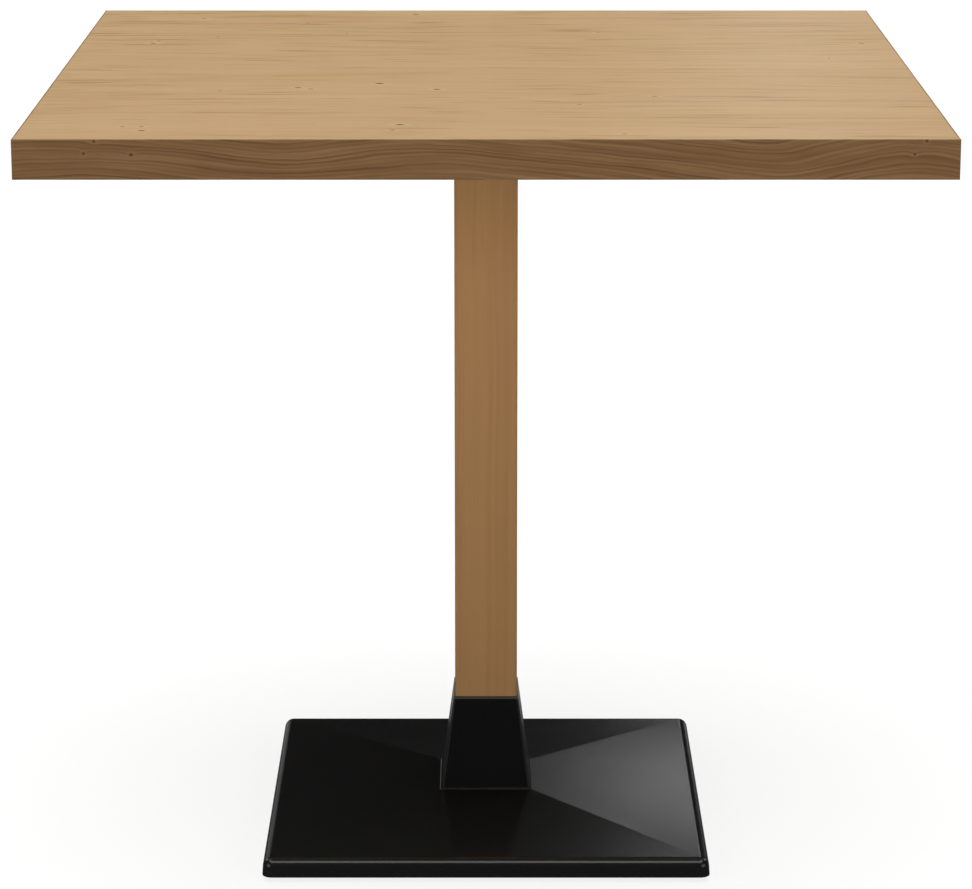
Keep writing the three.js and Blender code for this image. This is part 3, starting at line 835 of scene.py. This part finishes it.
def knot_group():
    """A pin knot: dark in its middle with a pale halo, and it pushes the growth rings aside."""
    group = bpy.data.node_groups.new("pin_knot", "ShaderNodeTree")
    for name in ("Along", "Across", "Knot Along", "Knot Across", "Size", "Stretch"):
        group.interface.new_socket(name, in_out="INPUT", socket_type="NodeSocketFloat")
    for name in ("Dark", "Halo", "Push"):
        group.interface.new_socket(name, in_out="OUTPUT", socket_type="NodeSocketFloat")
    given = group.nodes.new("NodeGroupInput").outputs
    result = group.nodes.new("NodeGroupOutput").inputs
    off = maths(group, "DIVIDE", maths(group, "SUBTRACT", given["Along"], given["Knot Along"]), given["Size"])
    aside = maths(group, "SUBTRACT", given["Across"], given["Knot Across"])
    aside = maths(group, "DIVIDE", aside, given["Size"])
    far = maths(group, "MULTIPLY", off, given["Stretch"])
    square = maths(group, "ADD", maths(group, "MULTIPLY", far, far), maths(group, "MULTIPLY", aside, aside))
    distance = maths(group, "SQRT", square)
    group.links.new(spread(group, distance, 1, 0, 0.5, 1.1, "SMOOTHSTEP"), result["Dark"])
    group.links.new(spread(group, distance, 1, 0, 1.1, 3.2, "SMOOTHSTEP"), result["Halo"])
    reach = maths(group, "MULTIPLY", distance, 0.3)
    faded = maths(group, "MULTIPLY", maths(group, "MULTIPLY", reach, reach), -1)
    bell = maths(group, "POWER", 2.718, faded)
    group.links.new(maths(group, "MULTIPLY", bell, given["Size"]), result["Push"])
    return group


pin_knot = knot_group()


def place_knots(tree, along, across, knots, stretch):
    """The summed darkness, halo and push of pin knots, each given as a place and a size in millimetres."""
    sums = [0, 0, 0]
    for knot_along, knot_across, size in knots:
        node = add_node(tree, "Group")
        node.node_tree = pin_knot
        tree.links.new(along, node.inputs["Along"])
        tree.links.new(across, node.inputs["Across"])
        node.inputs["Knot Along"].default_value = knot_along * MM
        node.inputs["Knot Across"].default_value = knot_across * MM
        node.inputs["Size"].default_value = size * MM
        node.inputs["Stretch"].default_value = stretch
        sums = [maths(tree, "ADD", total, node.outputs[i]) for i, total in enumerate(sums)]
    return sums


def ring_lines(tree, radius, spacing):
    """Growth rings as dark late-wood lines, each with a strength of its own."""
    count = maths(tree, "DIVIDE", radius, spacing)
    part = maths(tree, "FRACT", count)
    rise = spread(tree, part, 0, 1, 0.35, 0.92, "SMOOTHSTEP")
    fall = spread(tree, part, 1, 0, 0.92, 1.0)
    own = add_node(tree, "TexNoise", {"W": maths(tree, "FLOOR", count), "Scale": 0.7}, noise_dimensions="1D")
    strength = spread(tree, own.outputs["Fac"], 0.1, 1)
    return maths(tree, "MULTIPLY", maths(tree, "MULTIPLY", rise, fall), strength)


FACE_PALE, FACE_MID, FACE_DARK = (0.54, 0.378, 0.2, 1), (0.505, 0.347, 0.173, 1), (0.26, 0.138, 0.048, 1)
FACE_ROSY, FACE_KNOT = (0.527, 0.33, 0.202, 1), (0.1, 0.045, 0.015, 1)
BACK_MID = (0.4, 0.245, 0.1, 1)


def sliced_veneer(name, knots, pale, mid, rosy, dark):
    """Veneer with long dark streaks and faint growth lines, busier towards the back and the left."""
    material, tree, shader = start_material(name)
    place = add_node(tree, "TexCoord").outputs["Object"]
    axes = add_node(tree, "SeparateXYZ", {0: place})
    along, across = axes.outputs["X"], axes.outputs["Y"]
    spots, halos, push = place_knots(tree, along, across, knots, 0.7)
    sway = noise(tree, place, (1.7, 4.5, 1), detail=3)
    ripple = noise(tree, place, (7, 30, 1), detail=2)
    bent = maths(tree, "ADD", across, spread(tree, sway, -16 * MM, 16 * MM))
    bent = maths(tree, "ADD", bent, spread(tree, ripple, -2 * MM, 2 * MM))
    bent = maths(tree, "ADD", bent, push)
    grain_place = add_node(tree, "CombineXYZ", {"X": along, "Y": bent}).outputs[0]
    busy = maths(tree, "MULTIPLY", maths(tree, "SUBTRACT", across, along), 0.2)
    busy = maths(tree, "ADD", busy, spread(tree, noise(tree, place, (2.5, 6, 1)), 0.35, 1))
    busy = add_node(tree, "Clamp", {"Value": busy, "Min": 0.35, "Max": 0.95}).outputs[0]
    lines = ring_lines(tree, maths(tree, "ADD", bent, 0.9), 7 * MM)
    fibre = noise(tree, grain_place, (9, 1500, 1), detail=3, roughness=0.65)
    fleck = noise(tree, grain_place, (9, 330, 1), detail=4, roughness=0.65)
    streak = noise(tree, grain_place, (2.4, 150, 1), detail=4, roughness=0.65)
    dash = noise(tree, grain_place, (7, 170, 1), detail=2, roughness=0.6)
    blush = noise(tree, grain_place, (2.2, 22, 1), detail=2)
    long_streak = noise(tree, grain_place, (0.9, 70, 1), detail=3)
    broad = noise(tree, grain_place, (1.6, 7, 1), detail=2)
    pores = noise(tree, grain_place, (55, 3200, 1), detail=1)
    tone = blend_colour(tree, spread(tree, broad, 0, 1), pale, mid)
    tone = blend_colour(tree, spread(tree, blush, 0, 0.5), tone, rosy)
    for figure, strength, start, end in (
        (streak, 0.65, 0.57, 0.65),
        (dash, 0.85, 0.6, 0.66),
        (long_streak, 0.3, 0.52, 0.7),
        (lines, 0.14, 0, 1),
        (fleck, 0.4, 0.52, 0.78),
    ):
        share = maths(tree, "MULTIPLY", spread(tree, figure, 0, strength, start, end), busy)
        tone = blend_colour(tree, share, tone, dark)
    tone = blend_colour(tree, spread(tree, fibre, 0, 0.22, 0.45, 0.75), tone, dark)
    pore_colour = [c * 0.5 for c in dark[:3]] + [1]
    halo_colour = [c * 1.12 for c in pale[:3]] + [1]
    tone = blend_colour(tree, spread(tree, pores, 0, 0.4, 0.66, 0.76), tone, pore_colour)
    tone = blend_colour(tree, maths(tree, "MULTIPLY", halos, 0.4), tone, halo_colour)
    tone = blend_colour(tree, maths(tree, "MULTIPLY", spots, 0.9), tone, FACE_KNOT)
    wood_finish(tree, shader, tone, fibre, 0.41)
    return material


FACE_KNOTS = [
    (-98, -95, 3.4), (-45, -130, 3.0), (-172, -120, 2.6), (-160, -128, 2.2), (-242, -138, 1.8),
    (-329, 160, 2.6), (-325, 178, 1.8), (371, 160, 2.4), (-292, 340, 2.2), (-280, 322, 1.6),
    (-73, 370, 3.0), (-183, 305, 1.8), (-74, -325, 3.2), (-80, -352, 2.0), (-294, -355, 2.8),
    (-296, -335, 1.8), (-312, -335, 1.7), (83, -215, 2.0), (152, -170, 2.2), (113, 237, 1.8),
    (-268, 205, 1.6), (118, -372, 2.0), (-140, 230, 1.5), (330, 60, 1.5),
]
face_veneer = sliced_veneer("face_veneer", FACE_KNOTS, FACE_PALE, FACE_MID, FACE_ROSY, FACE_DARK)
back_veneer = sliced_veneer("backing_veneer", FACE_KNOTS[:4], FACE_MID, BACK_MID, FACE_ROSY, FACE_DARK)
for node, veneer in (("top_face_veneer", face_veneer), ("top_backing_veneer", back_veneer)):
    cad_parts[node].data.materials.clear()
    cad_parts[node].data.materials.append(veneer)

# ---------------------------------------------------------------- Edge bands
# Strips of darker long-grain wood, glued to the four edges of the board, trimmed
# flush, with a fine arris sanded on their outer corners.
ARRIS = 0.6 * MM


def edge_band(node, axis, way):
    """A band the size of its CAD node, facing one way along an axis, with its outer corners rounded."""
    low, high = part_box(node)
    shape = bmesh.new()
    bmesh.ops.create_cube(shape, size=1)
    shape.transform(Matrix.Translation((low + high) / 2) @ Matrix.Diagonal((*(high - low), 1)))
    outside = (high if way > 0 else low)[axis]
    outer = [e for e in shape.edges if all(abs(v.co[axis] - outside) < 1e-6 for v in e.verts)]
    bmesh.ops.bevel(shape, geom=outer, offset=ARRIS, segments=4, profile=0.5, affect="EDGES")
    return make_piece(node.replace("edge_band", "edging"), shape)


EDGE_PALE, EDGE_MID, EDGE_DARK = (0.325, 0.185, 0.084, 1), (0.257, 0.142, 0.061, 1), (0.1, 0.042, 0.016, 1)
EDGE_PATCH, EDGE_KNOT = (0.15, 0.06, 0.022, 1), (0.06, 0.027, 0.012, 1)
BAND_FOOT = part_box("edge_band_front")[0].z


def edging_wood(name, long_axis, arches, knots):
    """Long-grain edging: lines that rise over wide arches from its lower edge.

    An arch is its middle, its depth, and its fall to the left and to the right of it.
    """
    material, tree, shader = start_material(name)
    place = add_node(tree, "TexCoord").outputs["Object"]
    axes = add_node(tree, "SeparateXYZ", {0: place})
    along, up = axes.outputs[long_axis], axes.outputs["Z"]
    height = maths(tree, "SUBTRACT", up, BAND_FOOT)
    spots, halos, push = place_knots(tree, along, height, knots, 0.95)
    flat = add_node(tree, "CombineXYZ", {"X": along, "Y": height}).outputs[0]
    sway = noise(tree, flat, (5, 25, 1), detail=2)
    ripple = noise(tree, flat, (40, 120, 1), detail=2)
    lifted = maths(tree, "ADD", height, spread(tree, sway, -3 * MM, 3 * MM))
    lifted = maths(tree, "ADD", lifted, spread(tree, ripple, -0.4 * MM, 0.4 * MM))
    lifted = maths(tree, "ADD", lifted, push)
    field = 1
    for centre, depth, fall_left, fall_right in arches:
        off = maths(tree, "SUBTRACT", along, centre * MM)
        left, right = maths(tree, "MULTIPLY", off, -fall_left), maths(tree, "MULTIPLY", off, fall_right)
        off = maths(tree, "MAXIMUM", left, right)
        rise = maths(tree, "ADD", lifted, depth * MM)
        fallen = maths(tree, "SQRT", maths(tree, "ADD", maths(tree, "MULTIPLY", off, off), (6 * MM) ** 2))
        field = maths(tree, "SMOOTH_MIN", field, maths(tree, "ADD", rise, fallen), 12 * MM)
    lines = ring_lines(tree, field, 3.3 * MM)
    grain_place = add_node(tree, "CombineXYZ", {"X": along, "Y": field}).outputs[0]
    fibre = noise(tree, grain_place, (12, 1500, 1), detail=3)
    streak = noise(tree, grain_place, (3, 260, 1), detail=3)
    broad = noise(tree, flat, (9, 60, 1), detail=3)
    patch = noise(tree, grain_place, (7, 110, 1), detail=2)
    tone = blend_colour(tree, spread(tree, broad, 0, 1), EDGE_PALE, EDGE_MID)
    tone = blend_colour(tree, spread(tree, patch, 0, 0.4, 0.5, 0.72), tone, EDGE_PATCH)
    tone = blend_colour(tree, maths(tree, "MULTIPLY", lines, 0.6), tone, EDGE_DARK)
    tone = blend_colour(tree, spread(tree, streak, 0, 0.55, 0.45, 0.75), tone, EDGE_DARK)
    tone = blend_colour(tree, spread(tree, fibre, 0, 0.3, 0.45, 0.75), tone, EDGE_DARK)
    tone = blend_colour(tree, maths(tree, "MULTIPLY", halos, 0.3), tone, EDGE_PALE)
    tone = blend_colour(tree, maths(tree, "MULTIPLY", spots, 0.75), tone, EDGE_KNOT)
    wood_finish(tree, shader, tone, fibre, 0.5)
    return material


front_edging = edging_wood(
    "front_edging",
    "X",
    [(-345, 0, 0.1, 0.12), (-58, 7, 0.12, 0.12), (355, 19, 0.23, 0.2)],
    [(-339, 22.5, 1.5), (-330, 33, 1.6), (-299, 21.5, 1.8), (361, 22, 1.4), (371, 33.5, 1.6)],
)
side_edging = edging_wood(
    "side_edging",
    "Y",
    [(-300, 8, 0.12, 0.12), (120, 5, 0.09, 0.09)],
    [(-120, 12, 1.2), (260, 25, 1.0)],
)
for node, axis, way, wood in (
    ("edge_band_front", 1, -1, front_edging),
    ("edge_band_back", 1, 1, front_edging),
    ("edge_band_left", 0, -1, side_edging),
    ("edge_band_right", 0, 1, side_edging),
):
    band = edge_band(node, axis, way)
    band.data.materials.append(wood)
    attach(band, "table")
    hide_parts(node)

# ---------------------------------------------------------------- Top screws
# Eight zinc-plated pan-head wood screws with six-lobed drives, driven up
# through the bars into the board.
HEAD_RADIUS = 5.5 * MM
SHANK_RADIUS = 2.5 * MM
SHANK_PITCH = 2.2 * MM
LOBE_RADIUS = 2.1 * MM
LOBE_DEPTH = 0.35 * MM


def six_lobes(size, height):
    """One level of the drive's recess, with six round lobes."""
    points = []
    for i in range(ROUND):
        turn = 2 * math.pi * i / ROUND
        radius = size * (LOBE_RADIUS + LOBE_DEPTH * math.cos(6 * turn))
        points.append((radius * math.cos(turn), radius * math.sin(turn), height))
    return points


for number in range(1, 9):
    low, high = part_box(f"top_screw_{number}")
    middle = (low + high) / 2
    wood_screw_levels = [
        six_lobes(0.9, low.z + 2 * MM),
        six_lobes(1, low.z + 0.05 * MM),
        circle(2.9 * MM, low.z),
        circle(3.8 * MM, low.z + 0.25 * MM),
        circle(4.8 * MM, low.z + 0.9 * MM),
        circle(HEAD_RADIUS - 0.1 * MM, low.z + 1.9 * MM),
        circle(HEAD_RADIUS, low.z + 2.7 * MM),
        circle(HEAD_RADIUS - 0.1 * MM, bar_low.z),
        circle(SHANK_RADIUS, bar_low.z),
        *screw_thread(SHANK_RADIUS, SHANK_PITCH, bar_low.z + 8 * MM, high.z - 4 * MM),
        circle(0.4 * MM, high.z),
    ]
    screw = make_piece(f"wood_screw_{number}", move(loft(wood_screw_levels), middle.x, middle.y))
    screw.data.materials.append(zinc)
    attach(screw, "table")
    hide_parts(f"top_screw_{number}")
